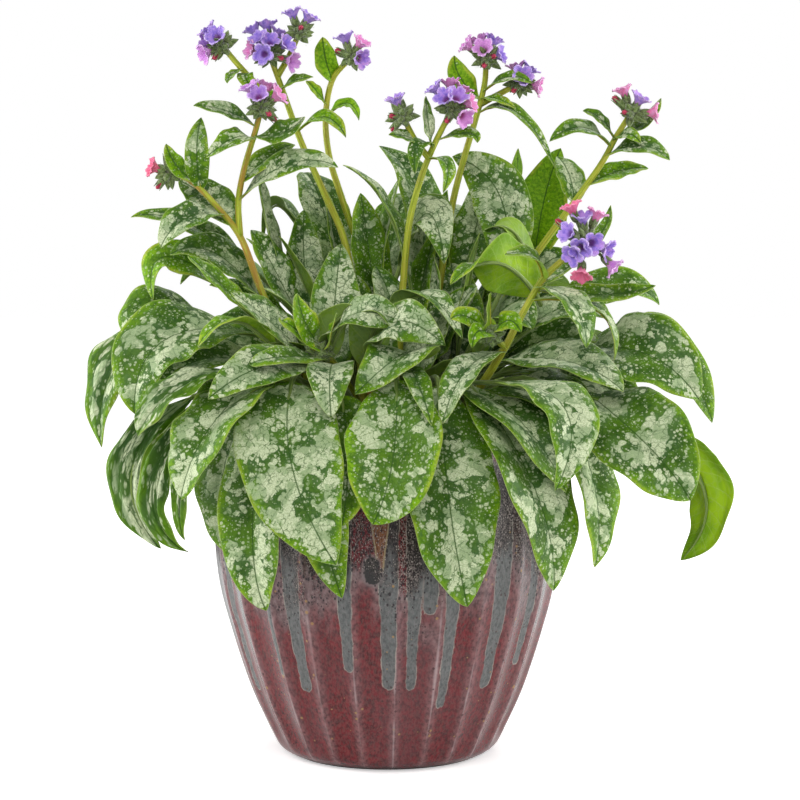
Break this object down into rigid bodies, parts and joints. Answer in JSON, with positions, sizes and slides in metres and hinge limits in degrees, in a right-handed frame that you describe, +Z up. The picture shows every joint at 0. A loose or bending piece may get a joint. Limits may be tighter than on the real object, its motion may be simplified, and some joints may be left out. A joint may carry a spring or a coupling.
{
  "type": "potted plant",
  "caption": "Lungwort with silver-spotted leaves and clusters of violet and pink funnel flowers, in a fluted, glazed stoneware pot.",
  "frame": {"origin": "middle of the pot's flat foot, on the surface that the pot stands on", "axes": "+Z up, +X to the right and -Y towards the camera of the picture, in metres"},
  "size_m": [0.4097, 0.333, 0.4877],
  "materials": {
    "glaze": "gloss glaze",
    "soil": "rough",
    "leaf": "satin",
    "stem": "matte",
    "petal_violet": "matte",
    "petal_pink": "matte"
  },
  "bodies": {
    "root": {"pot": "glaze", "leaf_front_1": "leaf", "leaf_front_2": "leaf", "leaf_front_3": "leaf", "leaf_front_4": "leaf", "leaf_front_5": "leaf", "leaf_front_6": "leaf", "leaf_front_7": "leaf", "leaf_front_8": "leaf", "leaf_right_1": "leaf", "leaf_right_2": "leaf", "leaf_right_3": "leaf", "leaf_right_4": "leaf", "leaf_right_5": "leaf", "leaf_left_1": "leaf", "leaf_left_2": "leaf", "leaf_left_3": "leaf", "leaf_left_4": "leaf", "leaf_left_5": "leaf", "leaf_left_6": "leaf", "leaf_left_7": "leaf", "leaf_left_8": "leaf", "leaf_left_9": "leaf", "leaf_left_10": "leaf", "leaf_back_1": "leaf", "leaf_back_2": "leaf", "leaf_back_3": "leaf", "leaf_back_4": "leaf", "leaf_back_5": "leaf", "leaf_back_6": "leaf", "leaf_back_7": "leaf", "rosette_front_left": "leaf", "rosette_front": "leaf", "rosette_left": "leaf", "rosette_middle": "leaf", "rosette_right": "leaf", "rosette_back_right": "leaf", "rosette_back_left": "leaf", "stem_left": "stem", "flowers_far_left": "petal_pink", "flowers_left_low": "petal_pink", "stem_back_left": "stem", "flowers_top_left": "petal_violet", "flowers_top": "petal_violet", "flowers_top_small": "petal_violet", "stem_back": "stem", "flowers_back": "petal_pink", "stem_middle": "stem", "flowers_middle_small": "petal_violet", "flowers_middle": "petal_violet", "stem_back_right": "stem", "flowers_right_high": "petal_pink", "flowers_right_small": "petal_violet", "stem_right": "stem", "flowers_right": "petal_pink", "stem_front_right": "stem", "flowers_front_right": "petal_violet", "stem_front_left": "stem", "soil": "soil"}
  },
  "joints": []
}
